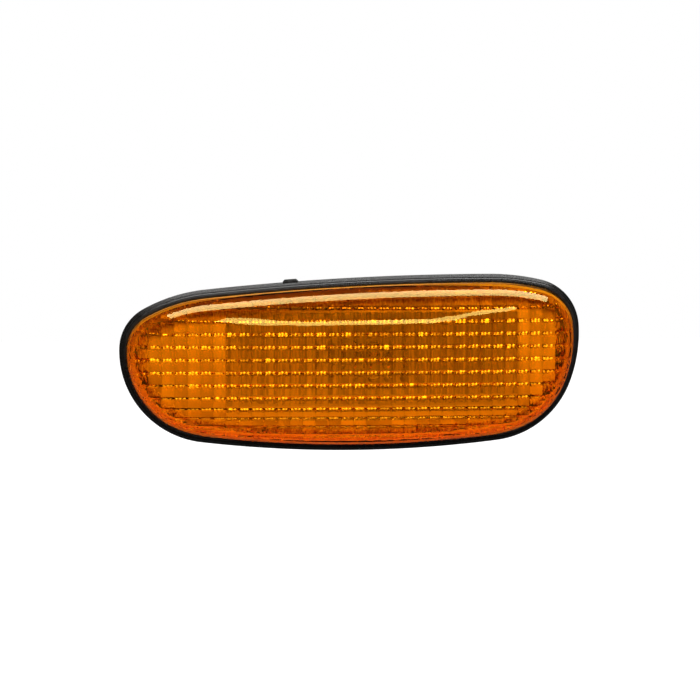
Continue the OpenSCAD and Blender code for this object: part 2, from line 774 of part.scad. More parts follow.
module holder_pockets() {
    slack = 0.3;
    reach = contact_y + 0.95 + contact_t / 2 + 0.2;
    translate([-base_w / 2 - slack, -base_t / 2 - slack, base_foot - 0.6])
        cube([base_w + 2 * slack, base_t + 2 * slack, base_l + 2]);
    for (turn = [0, 180])
        rotate(turn) {
            translate([-contact_x - contact_w / 2 - contact_gap, -contact_t / 2 - contact_gap, pocket_floor])
                cube([contact_w + 2 * contact_gap, reach + contact_t / 2 + contact_gap,
                    barrel_front - pocket_floor + 1]);
            translate([-contact_x - contact_w / 2 - contact_gap, -contact_t / 2 - contact_gap,
                socket_floor - 1])
                cube([contact_w + 2 * contact_gap, contact_t + 2 * contact_gap,
                    pocket_floor - socket_floor + 2]);
        }
}

module plug_socket() {
    key_w = 5;
    key_h = 1.2;
    key_l = 2.5;
    outer_w = socket_w + 2 * socket_wall;
    outer_h = socket_h + 2 * socket_wall;
    translate([0, 0, socket_mouth])
        rounded_box(outer_w, outer_h, socket_r + socket_wall, flange_rear - socket_mouth);
    translate([-key_w / 2, outer_h / 2 - 1, socket_mouth + 2])
        cube([key_w, key_h + 1, key_l]);
}

module finger_grips() {
    grip_t = 2.4;
    grip_l = 7;
    translate([-flange_d / 2 + 0.5, -grip_t / 2, flange_rear - grip_l])
        cube([flange_d - 1, grip_t, grip_l]);
}

module bulb_holder()
    color([0.80, 0.79, 0.74])
        face_front()
            at_bulb()
                difference() {
                    union() {
                        translate([0, 0, flange_rear])
                            cylinder(h = barrel_front - flange_rear, d = barrel_d);
                        translate([0, 0, flange_rear])
                            cylinder(h = flange_t, d = flange_d);
                        for (i = [0 : lug_count - 1])
                            rotate(i * 360 / lug_count)
                                translate([barrel_d / 2 - 1, -lug_w / 2, chamber_rear])
                                    cube([lug_reach + 1, lug_w, lug_t]);
                        plug_socket();
                        finger_grips();
                    }
                    translate([0, 0, socket_mouth - 1])
                        rounded_box(socket_w, socket_h, socket_r, socket_d + 1);
                    holder_pockets();
                }

// Sealing ring squeezed between the flange and the chamber wall
module holder_seal()
    color([0.2, 0.2, 0.21])
        face_front()
            at_bulb()
                rotate_extrude()
                    translate([ring_inner + ring_d / 2, flange_front + ring_t / 2])
                        intersection() {
                            circle(d = ring_d);
                            square([ring_d + 1, ring_t], center = true);
                        }

gasket();
housing();
lens_sealant();
lens();
spring_clip();
bulb_glass();
bulb_filament();
bulb_lead_left();
bulb_lead_right();
bulb_holder();
holder_seal();
contact_left();
contact_right();
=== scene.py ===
"""Looks of a vehicle indicator lamp: amber fluted lens, rubber rim, housing, bulb and holder."""

import math

import bpy
import numpy as np
from bpy.props import FloatProperty, FloatVectorProperty, IntProperty, PointerProperty
from bpy.types import Operator, Panel, PropertyGroup
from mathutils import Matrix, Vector


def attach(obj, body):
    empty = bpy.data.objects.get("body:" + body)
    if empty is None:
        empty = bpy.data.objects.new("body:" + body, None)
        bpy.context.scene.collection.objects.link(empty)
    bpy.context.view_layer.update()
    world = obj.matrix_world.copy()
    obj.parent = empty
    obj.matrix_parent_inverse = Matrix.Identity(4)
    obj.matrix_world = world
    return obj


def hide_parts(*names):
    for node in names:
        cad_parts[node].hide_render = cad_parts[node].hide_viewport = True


bl_info = {
    "name": "Indicator Lamp",
    "version": (1, 0, 0),
    "blender": (4, 5, 0),
    "location": "View3D > Sidebar > Lamp",
    "description": "Builds the looks of an egg-shaped side indicator lamp around its solids",
    "category": "Add Mesh",
}

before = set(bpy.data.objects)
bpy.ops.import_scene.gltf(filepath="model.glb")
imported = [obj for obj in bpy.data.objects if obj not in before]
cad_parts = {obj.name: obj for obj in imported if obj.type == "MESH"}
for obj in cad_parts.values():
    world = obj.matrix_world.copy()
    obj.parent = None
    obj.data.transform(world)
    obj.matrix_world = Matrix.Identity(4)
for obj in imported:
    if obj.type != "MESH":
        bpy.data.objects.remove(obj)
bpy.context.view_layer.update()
MM = 0.001

# The outline's arcs, as in the solids: where each starts, in degrees, and the radii that are given
ARC_FROM = np.array([-21.0, 4, 77, 90, 96, 119, 178, 263, 277])
GIVEN_RADIUS = {1: 13.0, 2: 60.0, 4: 42.0, 5: 12.0, 8: 23.5}
RIM_LENGTH, RIM_HEIGHT = 120.0, 46.0

# Degrees by which a point may lie past the end of an arc, and the samples that even out directions
SLACK, OUTLINE_SAMPLES = 0.01, 20000

# Levels above the panel face and insets from the outline, in millimetres
PLATE_TOP, LENS_FOOT, RIM_TOP = 3.3, 3.6, 4.6
SEAT, GROOVE, RIM_WIDTH, LEG_WIDTH = 1.5, 1.5, 2.05, 4.5
LENS_INSET, CAVITY_INSET = 2.15, 4.25


# ---- The outline


def heading(degrees):
    """Unit vectors at the given directions."""
    a = np.radians(np.asarray(degrees, float))
    return np.stack([np.cos(a), np.sin(a)], -1)


def arc_span(start, end, low, high):
    """Chord of a unit arc between two directions, cut to the window from low to high."""
    a, b = max(start, low), min(end, high)
    return heading(b) - heading(a) if b > a else np.zeros(2)


def solve_outline():
    """Radii and centres of the arcs: the long radii solve four equations, so that the chain of
    tangent arcs is as long and as high as the rim along its top, bottom, left and right."""
    ends = np.append(ARC_FROM[1:], ARC_FROM[0] + 360)

    def part(k, low, high):
        return arc_span(ARC_FROM[k], ends[k], low, high) + arc_span(
            ARC_FROM[k], ends[k], low - 360, high - 360
        )

    share = np.array(
        [
            [-part(k, 0, 180)[0], part(k, 180, 360)[0], -part(k, 90, 270)[1], part(k, 270, 450)[1]]
            for k in range(len(ARC_FROM))
        ]
    )
    radii = np.array([GIVEN_RADIUS.get(k, 0.0) for k in range(len(ARC_FROM))])
    long_arcs = [k for k in range(len(ARC_FROM)) if k not in GIVEN_RADIUS]
    target = np.array([RIM_LENGTH, RIM_LENGTH, RIM_HEIGHT, RIM_HEIGHT]) - radii @ share
    radii[long_arcs] = np.linalg.solve(share[long_arcs].T, target)
    steps = (radii[:-1] - radii[1:])[:, None] * heading(ARC_FROM[1:])
    centres = np.vstack([[0, 0], np.cumsum(steps, 0)])

    def point(degrees):
        k = np.searchsorted(ARC_FROM, degrees, side="right") - 1
        return centres[k] + radii[k] * heading(degrees)

    middle = np.array([point(0)[0] + point(180)[0], point(90)[1] + point(270)[1]]) / 2
    return radii, centres - middle


ARC_RADIUS, ARC_CENTRE = solve_outline()


def edge_point(degrees, inset=0.0):
    """Point of the outline whose outward normal has each direction, moved inwards by the inset."""
    turned = (np.asarray(degrees, float) - ARC_FROM[0]) % 360 + ARC_FROM[0]
    k = np.searchsorted(ARC_FROM, turned, side="right") - 1
    return ARC_CENTRE[k] + (ARC_RADIUS[k] - inset)[..., None] * heading(turned)


def nearest_edge(x, y):
    """Distance inwards from the outline and direction of the nearest outline point, for arrays."""
    best = np.full(np.shape(x), np.inf)
    where = np.zeros(np.shape(x))
    ends = np.append(ARC_FROM[1:], ARC_FROM[0] + 360)
    for k in range(len(ARC_FROM)):
        dx, dy = x - ARC_CENTRE[k, 0], y - ARC_CENTRE[k, 1]
        turned = (np.degrees(np.arctan2(dy, dx)) - ARC_FROM[0]) % 360 + ARC_FROM[0]
        inset = ARC_RADIUS[k] - np.hypot(dx, dy)
        within = (turned >= ARC_FROM[k] - SLACK) & (turned <= ends[k] + SLACK)
        good = within & (inset < best)
        best = np.where(good, inset, best)
        where = np.where(good, turned, where)
    return best, where


def even_directions(count, inset=0.0):
    """Directions at evenly spaced points along the inset outline."""
    fine = np.linspace(ARC_FROM[0], ARC_FROM[0] + 360, OUTLINE_SAMPLES + 1)[:-1]
    points = edge_point(fine, inset)
    step = np.hypot(*(np.roll(points, -1, 0) - points).T)
    along = np.concatenate([[0], np.cumsum(step)])
    return np.interp(np.arange(count) / count * along[-1], along, np.append(fine, fine[0] + 360))


# ---- Meshes


def new_piece(name, points, faces, smooth_angle=35.0):
    """Mesh object from points in millimetres in the lamp's own frame: x right, y up, z forwards.
    The object frame is in metres with x right, y into the panel and z up: (x, -z, y) / 1000."""
    points = np.asarray(points, float)
    placed = np.stack([points[:, 0], -points[:, 2], points[:, 1]], 1) * MM
    mesh = bpy.data.meshes.new(name)
    mesh.from_pydata(placed.tolist(), [], [list(map(int, f)) for f in faces])
    mesh.validate()
    mesh.shade_smooth()
    mesh.set_sharp_from_angle(angle=math.radians(smooth_angle))
    mesh.update()
    piece = bpy.data.objects.new(name, mesh)
    bpy.context.scene.collection.objects.link(piece)
    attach(piece, "root")
    return piece


def loop_quads(rings, count):
    """Quads between closed rings of equal count, one ring after another."""
    low = np.arange(rings - 1)[:, None] * count
    i = np.arange(count)[None, :]
    j = (i + 1) % count
    return np.stack([low + i, low + j, low + count + j, low + count + i], -1).reshape(-1, 4)


def capped_tube(rings, count):
    """Faces of a tube of closed rings with an end face at each end."""
    faces = loop_quads(rings, count).tolist()
    return [*faces, list(range(count))[::-1], list(range((rings - 1) * count, rings * count))]


# ---- Lens

CROWN_LONG, CROWN_TALL = 560.0, 90.0
LENS_TOP, FACE_THICKNESS, SKIRT = 14.5, 2.2, 2.1
SHOULDER_HEIGHT, SHOULDER_END, SHOULDER_TOP, SHOULDER_BOTTOM = 5.6, 7.0, 8.0, 12.0
INNER_LOWEST = PLATE_TOP + 1.5

# The optics: how far up and down the rows go, by what share the lowest ones close up, from which
# level and over which height, and the most of a row that its ridge fills
OPTICS_LOW, OPTICS_HIGH = -21.5, 21.5
ROW_SQUEEZE, SQUEEZE_FROM, SQUEEZE_OVER = 0.29, 5.4, 5.7
RIDGE_SHARE = 0.42

# Nearest distances: a grid point from the border, an added grid line from an even one, and any two
# lines. Samples of the border, and the lines added at each end, with the directions they span
EDGE_GAP, ADDED_GAP, LINE_GAP = 0.02, 0.06, 0.015
BORDER_SAMPLES, END_LINES, END_SPANS = 6001, 30, ((135, 225), (-50, 50))

# Lobes of a ridge: their places in a flute, their width, how much place and height vary, and the
# crest's height between them, their rise above it and the gain that flattens their tops
LOBE_PLACES, LOBE_WIDTH = (0.15, 0.43, 0.73), 0.085
PLACE_SPREAD, HEIGHT_SPREAD = 0.025, 0.035
CREST_LOW, LOBE_RISE, LOBE_GAIN = 0.61, 0.39, 1.2

# Unevenness of the inner face: how much more it has near the border, from which inset and over
# which distance
BORDER_WANDER, WANDER_FROM, WANDER_OVER = 8, 9, 3

# Painted shade: a dark red colour by distance from the outline, standing for the shade that light
# bent in the lens shows: where the band begins and ends, each with the distance over which it
# fades, the middle and width of the two bands along the bottom, the share at the sides, how broken
# up they are, how steeply the bottom begins, and the width and share of the dark painted lines at
# the cusps between flutes
BAND_START, BAND_END = (4.2, 0.6), (8.0, 2.4)
LOW_BANDS = ((6.0, 0.7), (4.1, 0.4))
SIDE_SHARE, BREAK_LOW, BREAK_HIGH = 0.8, 0.4, 1.6
DOWN_GAIN, DOWN_START = 2, 0.4
CUSP_WIDTH, CUSP_SHARE = 0.04, 0.35

SEED = 7

# Loops of faces that are frosted: the skirt's inner wall, the foot, the outer wall and one above it
FROSTED_LOOPS = 4


def shoulder_width(direction):
    """Width of the shoulder: it goes from the ends to the top or bottom value with sine squared."""
    s = np.sin(np.radians(direction))
    up, down = np.maximum(s, 0) ** 2, np.maximum(-s, 0) ** 2
    return (
        SHOULDER_END
        + (SHOULDER_TOP - SHOULDER_END) * up
        + (SHOULDER_BOTTOM - SHOULDER_END) * down
    )


def crown_level(x, y):
    """Height of the crowned face: its top less a parabola along each axis."""
    return LENS_TOP - x**2 / (2 * CROWN_LONG) - y**2 / (2 * CROWN_TALL)


def shoulder_rise(u):
    """Quarter ellipse: sqrt(1 - (1 - u)^2), from 0 at the edge to 1 where the face begins."""
    u = np.clip(u, 0, 1)
    return np.sqrt(1 - (1 - u) ** 2)


def row_edges(pitch, start):
    """Edges of the optics rows, each one pitch further along the surface of the middle section, and
    closer together by up to a share where the surface turns away at the bottom."""
    probe = 0.05

    def level(y):
        inset, direction = nearest_edge(np.zeros(1), np.array([y]))
        rise = shoulder_rise((inset - LENS_INSET) / shoulder_width(direction))
        return float((crown_level(0, y) - SHOULDER_HEIGHT * (1 - rise))[0])

    edges = [start]
    for turn in (-1, 1):
        y = start
        while OPTICS_LOW < y < OPTICS_HIGH:
            tilt = math.atan((level(y + probe) - level(y - probe)) / (2 * probe))
            squeeze = 1 - ROW_SQUEEZE * min(max((-y - SQUEEZE_FROM) / SQUEEZE_OVER, 0), 1)
            y += turn * pitch * math.cos(tilt) * squeeze
            edges.append(y)
    return sorted(edges)


def row_lines(settings, edges):
    """Grid lines up the rows: some over each ridge, and some over the plain strip above it."""
    ys = []
    for low, high in zip(edges[:-1], edges[1:]):
        crest = low + min(settings.ridge_width / MM, (high - low) * RIDGE_SHARE)
        ys += list(np.linspace(low, crest, settings.ridge_steps, endpoint=False))
        ys += list(np.linspace(crest, high, settings.plain_steps, endpoint=False))
    return np.array(ys + [edges[-1]])


def flute_lines(pitch, start, steps):
    """Grid lines across the flutes: even steps in each flute, with more lines near the two ends."""
    left, right = edge_point(180, CAVITY_INSET)[0], edge_point(0, CAVITY_INSET)[0]
    first, last = math.ceil((left - start) / pitch) - 1, math.ceil((right - start) / pitch)
    x = start + (np.arange(first * steps, last * steps + 1)) * pitch / steps
    x = x[(x > left + EDGE_GAP) & (x < right - EDGE_GAP)]
    added = np.concatenate(
        [edge_point(np.linspace(a, b, END_LINES), CAVITY_INSET)[:, 0] for a, b in END_SPANS]
    )
    gap = np.abs(added[:, None] - x[None, :]).min(1)
    merged = np.sort(np.concatenate([x, added[gap > ADDED_GAP]]))
    return merged[np.concatenate([[True], np.diff(merged) > LINE_GAP])]


def edge_heights(x):
    """Lowest and highest y of the cavity outline at each x, from a finely sampled outline."""
    top = edge_point(np.linspace(0, 180, BORDER_SAMPLES), CAVITY_INSET)[::-1]
    low = edge_point(np.linspace(180, 360, BORDER_SAMPLES), CAVITY_INSET)
    return np.interp(x, *low.T), np.interp(x, *top.T)


def optics_relief(x, y, settings, edges, rng):
    """Height of the optics below the smooth inner face: a parabola across each flute, and in each
    row a level ridge of triangular section whose crest has three lobes in each flute, a little
    different in each."""
    across = (x - settings.flute_start / MM) / (settings.flute_pitch / MM)
    s = across % 1.0
    flute = settings.flute_depth / MM * (1 - (2 * s - 1) ** 2)
    row = np.clip(np.searchsorted(edges, y, side="right") - 1, 0, len(edges) - 2)
    edges = np.asarray(edges)
    wide = np.minimum(settings.ridge_width / MM, (edges[row + 1] - edges[row]) * RIDGE_SHARE)
    into = (y - edges[row]) / wide
    ridge = np.clip(1 - np.abs(2 * into - 1), 0, 1) * settings.ridge_depth / MM
    column = np.floor(across).astype(int)
    column -= column.min()
    cells = (column.max() + 1, len(edges))
    shift = rng.normal(0, PLACE_SPREAD, (len(LOBE_PLACES), *cells))[:, column, row]
    height = rng.normal(1, HEIGHT_SPREAD, cells)[column, row]
    lobes = sum(
        np.exp(-(((s - at - moved) / LOBE_WIDTH) ** 2)) for at, moved in zip(LOBE_PLACES, shift)
    )
    knobs = (CREST_LOW + LOBE_RISE * np.minimum(LOBE_GAIN * lobes, 1)) * height
    return flute + ridge * knobs


def inner_level(x, y, settings, edges, inside, rng):
    """Height of the inner face: the outer form, narrower and lower by the lens's thickness, less
    the optics, and a little uneven inside the border."""
    inset, direction = nearest_edge(x, y)
    rise = shoulder_rise((inset - CAVITY_INSET) / (shoulder_width(direction) - SKIRT))
    smooth = crown_level(x, y) - FACE_THICKNESS - SHOULDER_HEIGHT * (1 - rise)
    near = np.clip((WANDER_FROM - inset) / WANDER_OVER, 0, 1)
    rough = settings.mould_wander / MM * (1 + BORDER_WANDER * near)
    wander = rng.normal(0, 1, x.shape) * rough
    inner = smooth - optics_relief(x, y, settings, edges, rng) + wander * inside
    return np.maximum(inner, INNER_LOWEST)


def painted_shade_share(inset, direction, rng):
    """Share of the painted shade colour on the outer face: a dark band of painted shade round the
    lens above the steep inner shoulder, parted in two along the bottom, and broken up at random."""
    (start, fade_in), (end, fade_out) = BAND_START, BAND_END
    above = np.clip((inset - start) / fade_in, 0, 1) * np.clip((end - inset) / fade_out, 0, 1)
    below = sum(np.exp(-(((inset - middle) / width) ** 2)) for middle, width in LOW_BANDS)
    s = np.sin(np.radians(direction))
    down = np.clip(-DOWN_GAIN * s - DOWN_START, 0, 1)
    band = above * (1 - down) + np.minimum(below, 1) * down
    side = SIDE_SHARE + (1 - SIDE_SHARE) * np.abs(s)
    return band * side * rng.uniform(BREAK_LOW, BREAK_HIGH, inset.shape)


def outer_loops(settings, turn):
    """Loops with the given directions: the foot's two edges, the shoulder in even steps of a
    quarter turn, and rings that shrink towards the middle of the crown."""
    loops = [
        np.column_stack([edge_point(turn, inset), np.full(len(turn), LENS_FOOT)])
        for inset in (CAVITY_INSET, LENS_INSET)
    ]
    wide = shoulder_width(turn)
    for q in np.linspace(0, 90, settings.shoulder_steps + 1):
        p = edge_point(turn, LENS_INSET + wide * (1 - math.cos(math.radians(q))))
        z = crown_level(p[:, 0], p[:, 1]) - SHOULDER_HEIGHT * (1 - math.sin(math.radians(q)))
        loops.append(np.column_stack([p, z]))
    top = loops[-1][:, :2]
    for share in np.linspace(1, 0, settings.crown_steps + 1)[1:-1]:
        p = top * share
        loops.append(np.column_stack([p, crown_level(p[:, 0], p[:, 1])]))
    return loops


def lens_mesh(settings):
    """One closed shell: an inner grid of optics cut to the cavity's outline, the skirt's inner
    wall, the foot, and outer loops that share the directions of the grid's border. It gives the
    points, the faces, the frosted faces' numbers and each point's share of the painted shade
    colour."""
    pitch, start = settings.flute_pitch / MM, settings.flute_start / MM
    edges = row_edges(settings.row_pitch / MM, settings.row_start / MM)
    x = flute_lines(pitch, start, settings.flute_steps)
    low, high = edge_heights(x)
    gx, gy = np.meshgrid(x, row_lines(settings, edges), indexing="ij")
    below = gy <= low[:, None] + EDGE_GAP
    inside = ~below & (gy < high[:, None] - EDGE_GAP)
    cut = np.clip(gy, low[:, None], high[:, None])
    rng = np.random.default_rng(SEED)
    inner = inner_level(gx, cut, settings, edges, inside, rng)
    phase = ((gx - start) / pitch) % 1.0
    # Painted shade: thin dark lines along the cusps between flutes
    painted_cusp_shade = (np.minimum(phase, 1 - phase) < CUSP_WIDTH) * CUSP_SHARE

    # The points inside, then the lower and the upper end of each column, then the grid's two ends
    nx, within = len(x), np.count_nonzero(inside)
    low_index = within + np.arange(nx)
    high_index = low_index + nx
    left_end, right_end = high_index[-1] + 1, high_index[-1] + 2
    ends = np.vstack(
        [
            np.column_stack([x, low]),
            np.column_stack([x, high]),
            edge_point(np.array([180.0, 0.0]), CAVITY_INSET),
        ]
    )
    ends_z = crown_level(ends[:, 0], ends[:, 1]) - FACE_THICKNESS - SHOULDER_HEIGHT
    grid = np.stack([gx[inside], gy[inside], inner[inside]], 1)
    cloud = np.vstack([grid, np.column_stack([ends, np.maximum(ends_z, INNER_LOWEST)])])
    index = np.where(below, low_index[:, None], high_index[:, None])
    index[inside] = np.arange(within)

    # Quads with corners that fell together on the border become triangles, or go
    quads = np.stack([index[:-1, :-1], index[1:, :-1], index[1:, 1:], index[:-1, 1:]], -1)
    corners = (list(dict.fromkeys(q)) for q in quads.reshape(-1, 4).tolist())
    faces = [c[::-1] for c in corners if len(c) >= 3]
    faces.append([left_end] + list(dict.fromkeys(index[0].tolist()))[::-1])
    faces.append([right_end] + list(dict.fromkeys(index[-1].tolist())))

    # The border runs round the grid: along the low ends, up the right, back along the high ends
    border = np.concatenate([[left_end], low_index, [right_end], high_index[::-1]])
    nb = len(border)
    _, turn = nearest_edge(cloud[border, 0], cloud[border, 1])
    turn[0], turn[1 + nx] = 180.0, 0.0
    loops = outer_loops(settings, turn)
    first = len(cloud)
    apex = first + len(loops) * nb
    cloud = np.vstack([cloud, *loops, [[0, 0, LENS_TOP]]])
    i = np.arange(nb)
    j = (i + 1) % nb
    skirt = range(len(faces), len(faces) + FROSTED_LOOPS * nb)
    faces += np.stack([border, border[j], first + j, first + i], -1).tolist()
    faces += (loop_quads(len(loops), nb) + first).tolist()
    last = apex - nb
    faces += np.stack([last + i, last + j, np.full(nb, apex)], -1).tolist()

    # Each point's share of painted shade: dark lines at the flute cusps inside, and a dark band
    # round the outer face
    painted_shade_shares = np.zeros(len(cloud))
    painted_shade_shares[:within] = painted_cusp_shade[inside]
    outer = slice(first + 2 * nb, apex)
    inset, direction = nearest_edge(cloud[outer, 0], cloud[outer, 1])
    painted_shade_shares[outer] = painted_shade_share(inset, direction, rng)
    return cloud, faces, skirt, painted_shade_shares


# ---- Rubber rim

# Radii of the crest, of the lip and of the leg's corner, and the height where the flank starts
CREST_R, LIP_R, CORNER_R, FLANK_FOOT = 0.75, 0.25, 0.3, 0.9

# Ribs: where the first starts on the flank, their pitch, the power of their sine, and the number
# of points along the flank
RIB_START, RIB_PITCH, RIB_POWER, FLANK_POINTS = 0.3, 0.6, 0.8, 61

# Fitting tab: direction, width, height out of the flank, thickness and level, its chamfer, how far
# it roots in the flank, and the radius and layers of its soft edges
TAB_DIRECTION, TAB_WIDE, TAB_PROUD, TAB_THICK, TAB_LEVEL = 94.2, 4.0, 0.7, 2.0, 0.7
TAB_CHAMFER, TAB_ROOT, TAB_SOFT, TAB_LAYERS = 0.5, 0.6, 0.18, 10


def rim_section(settings):
    """Closed section of the rim as x outside the outline and y above the panel: the leg's back,
    the flank with its ribs as a power of a sine, a round crest, the lip and the groove."""
    foot = np.array([0.0, FLANK_FOOT])
    crest = np.array([-2 * CREST_R, RIM_TOP - CREST_R])
    v = crest - foot
    a = math.atan2(v[1], v[0]) - math.asin(CREST_R / np.hypot(*v))
    end = foot + math.sqrt(v @ v - CREST_R**2) * np.array([math.cos(a), math.sin(a)])
    length = np.hypot(*(end - foot))
    along = (end - foot) / length
    out = np.array([along[1], -along[0]])
    t = np.linspace(0, length, FLANK_POINTS)
    ribs = settings.rib_count
    phase = np.clip((t - RIB_START) / RIB_PITCH, 0, ribs)
    wave = np.sin(np.pi * (phase % 1.0)) ** RIB_POWER
    bump = settings.rib_height / MM * wave * (phase < ribs)
    flank = foot + t[:, None] * along + bump[:, None] * out
    turn = math.degrees(math.atan2(out[1], out[0]))
    crown = crest + CREST_R * heading(np.linspace(turn, 90, 9)[1:])
    lip = np.array([LIP_R - RIM_WIDTH, RIM_TOP - LIP_R]) + LIP_R * heading(np.linspace(90, 180, 6))
    corner = np.array([-CORNER_R, CORNER_R]) + CORNER_R * heading(np.linspace(-90, 0, 5))
    back = [[-LEG_WIDTH, 0], *corner.tolist()]
    inner = [
        [-RIM_WIDTH, PLATE_TOP],
        [-GROOVE, PLATE_TOP],
        [-GROOVE, SEAT],
        [-LEG_WIDTH, SEAT],
    ]
    return np.array([*back, *flank.tolist(), *crown.tolist(), *lip.tolist(), *inner])


def rim_mesh(settings):
    """The section carried round the outline, whose sides shrink with the inset."""
    section = rim_section(settings)
    turn = even_directions(settings.rim_steps)
    rings = np.stack(
        [np.column_stack([edge_point(turn, -x), np.full(len(turn), y)]) for x, y in section]
    )
    m, n = rings.shape[:2]
    i, j = np.meshgrid(np.arange(m), np.arange(n), indexing="ij")
    i2, j2 = (i + 1) % m, (j + 1) % n
    faces = np.stack([i * n + j, i * n + j2, i2 * n + j2, i2 * n + j], -1).reshape(-1, 4)
    return rings.reshape(-1, 3), faces


def tab_mesh():
    """Fitting tab: a chamfered plan carried up in z, with its upper and lower edges rounded off
    by a quarter of a circle."""
    side = TAB_WIDE / 2
    plan = np.array(
        [
            [-side, -TAB_ROOT],
            [side, -TAB_ROOT],
            [side, TAB_PROUD - TAB_CHAMFER],
            [side - TAB_CHAMFER, TAB_PROUD],
            [TAB_CHAMFER - side, TAB_PROUD],
            [-side, TAB_PROUD - TAB_CHAMFER],
        ]
    )
    base = edge_point(np.array(TAB_DIRECTION))
    across, out = heading(TAB_DIRECTION - 90), heading(TAB_DIRECTION)
    half = TAB_THICK / 2
    layers = []
    for q in np.linspace(-90, 90, TAB_LAYERS):
        grow = TAB_SOFT * (math.cos(math.radians(q)) - 1)
        rise = TAB_SOFT * math.sin(math.radians(q))
        z = TAB_LEVEL + half + (half - TAB_SOFT) * np.sign(q) + rise
        size = np.maximum(np.abs(plan) + grow, 0) * np.sign(plan)
        p = base + size[:, :1] * across + size[:, 1:] * out
        layers.append(np.column_stack([p, np.full(len(p), z)]))
    return np.vstack(layers), capped_tube(len(layers), len(plan))


# ---- Filament

BULB_X, BULB_Y, FILAMENT_LEVEL = 6.2, -0.4, -10.9
COIL_TURNS, COIL_SPAN, COIL_R, WIRE_R = 11, 3.76, 0.28, 0.06
WIRE_SIDES, TURN_STEPS = 8, 24


def coil_mesh():
    """Helix of fine wire: radius r about x, advancing evenly, with a round section carried on the
    frame of its tangent."""
    n = COIL_TURNS * TURN_STEPS + 1
    a = np.linspace(0, 2 * np.pi * COIL_TURNS, n)
    x = np.linspace(-COIL_SPAN / 2, COIL_SPAN / 2, n)
    spine = np.column_stack([x, COIL_R * np.cos(a), COIL_R * np.sin(a)])
    tangent = np.gradient(spine, axis=0)
    tangent /= np.linalg.norm(tangent, axis=1)[:, None]
    radial = np.column_stack([np.zeros(n), np.cos(a), np.sin(a)])
    side = np.cross(tangent, radial)
    b = np.linspace(0, 2 * np.pi, WIRE_SIDES, endpoint=False)
    rings = spine[:, None] + WIRE_R * (
        np.cos(b)[None, :, None] * radial[:, None] + np.sin(b)[None, :, None] * side[:, None]
    )
    cloud = rings.reshape(-1, 3) + [BULB_X, BULB_Y, FILAMENT_LEVEL]
    return cloud, capped_tube(n, WIRE_SIDES)


# ---- Materials

# Grain: scale of the broad noise and the span of the mask. Painted shade streaks: scale along
# each axis, span of the mask, and the greatest y of the normals that look to the front
BROAD_SCALE, GRAIN_SPAN = 55, (0.15, 0.38)
STREAK_SCALE, STREAK_SPAN, FRONT_NORMAL = (420, 25, 25), (0.42, 0.6), -0.5
TRANSLUCENT_SHARE = 0.15


def material(name):
    """New material with an empty tree and an output node."""
    made = bpy.data.materials.new(name)
    made.use_nodes = True
    tree = made.node_tree
    tree.nodes.clear()
    out = tree.nodes.new("ShaderNodeOutputMaterial")
    return made, tree, out


def grain_group():
    """Node group 'Moulded Grain': noise on Object coordinates at a given scale, as a colour and a
    roughness varied between two values, and as a normal."""
    if "Moulded Grain" in bpy.data.node_groups:
        return bpy.data.node_groups["Moulded Grain"]
    g = bpy.data.node_groups.new("Moulded Grain", "ShaderNodeTree")
    face = g.interface
    for label, kind, value in (
        ("Base", "NodeSocketColor", (0.5, 0.5, 0.5, 1)),
        ("Worn", "NodeSocketColor", (0.6, 0.6, 0.6, 1)),
        ("Scale", "NodeSocketFloat", 900.0),
        ("Depth", "NodeSocketFloat", 0.00005),
        ("Rough Low", "NodeSocketFloat", 0.4),
        ("Rough High", "NodeSocketFloat", 0.6),
    ):
        socket = face.new_socket(label, in_out="INPUT", socket_type=kind)
        socket.default_value = value
    for label, kind in (
        ("Color", "NodeSocketColor"),
        ("Roughness", "NodeSocketFloat"),
        ("Normal", "NodeSocketVector"),
    ):
        face.new_socket(label, in_out="OUTPUT", socket_type=kind)
    n, link = g.nodes, g.links.new
    source, sink = n.new("NodeGroupInput"), n.new("NodeGroupOutput")
    where = n.new("ShaderNodeTexCoord")
    fine, broad = n.new("ShaderNodeTexNoise"), n.new("ShaderNodeTexNoise")
    fine.inputs["Detail"].default_value = 6
    broad.inputs["Scale"].default_value = BROAD_SCALE
    broad.inputs["Detail"].default_value = 4
    link(where.outputs["Object"], fine.inputs["Vector"])
    link(where.outputs["Object"], broad.inputs["Vector"])
    link(source.outputs["Scale"], fine.inputs["Scale"])
    both = n.new("ShaderNodeMath")
    both.operation = "MULTIPLY"
    link(fine.outputs["Fac"], both.inputs[0])
    link(broad.outputs["Fac"], both.inputs[1])
    wide = n.new("ShaderNodeMapRange")
    wide.inputs["From Min"].default_value, wide.inputs["From Max"].default_value = GRAIN_SPAN
    link(both.outputs[0], wide.inputs["Value"])
    tint = n.new("ShaderNodeMix")
    tint.data_type = "RGBA"
    link(wide.outputs[0], tint.inputs["Factor"])
    link(source.outputs["Base"], tint.inputs["A"])
    link(source.outputs["Worn"], tint.inputs["B"])
    rough = n.new("ShaderNodeMix")
    link(wide.outputs[0], rough.inputs["Factor"])
    link(source.outputs["Rough Low"], rough.inputs["A"])
    link(source.outputs["Rough High"], rough.inputs["B"])
    bump = n.new("ShaderNodeBump")
    link(source.outputs["Depth"], bump.inputs["Distance"])
    link(fine.outputs["Fac"], bump.inputs["Height"])
    link(tint.outputs["Result"], sink.inputs["Color"])
    link(rough.outputs["Result"], sink.inputs["Roughness"])
    link(bump.outputs["Normal"], sink.inputs["Normal"])
    return g


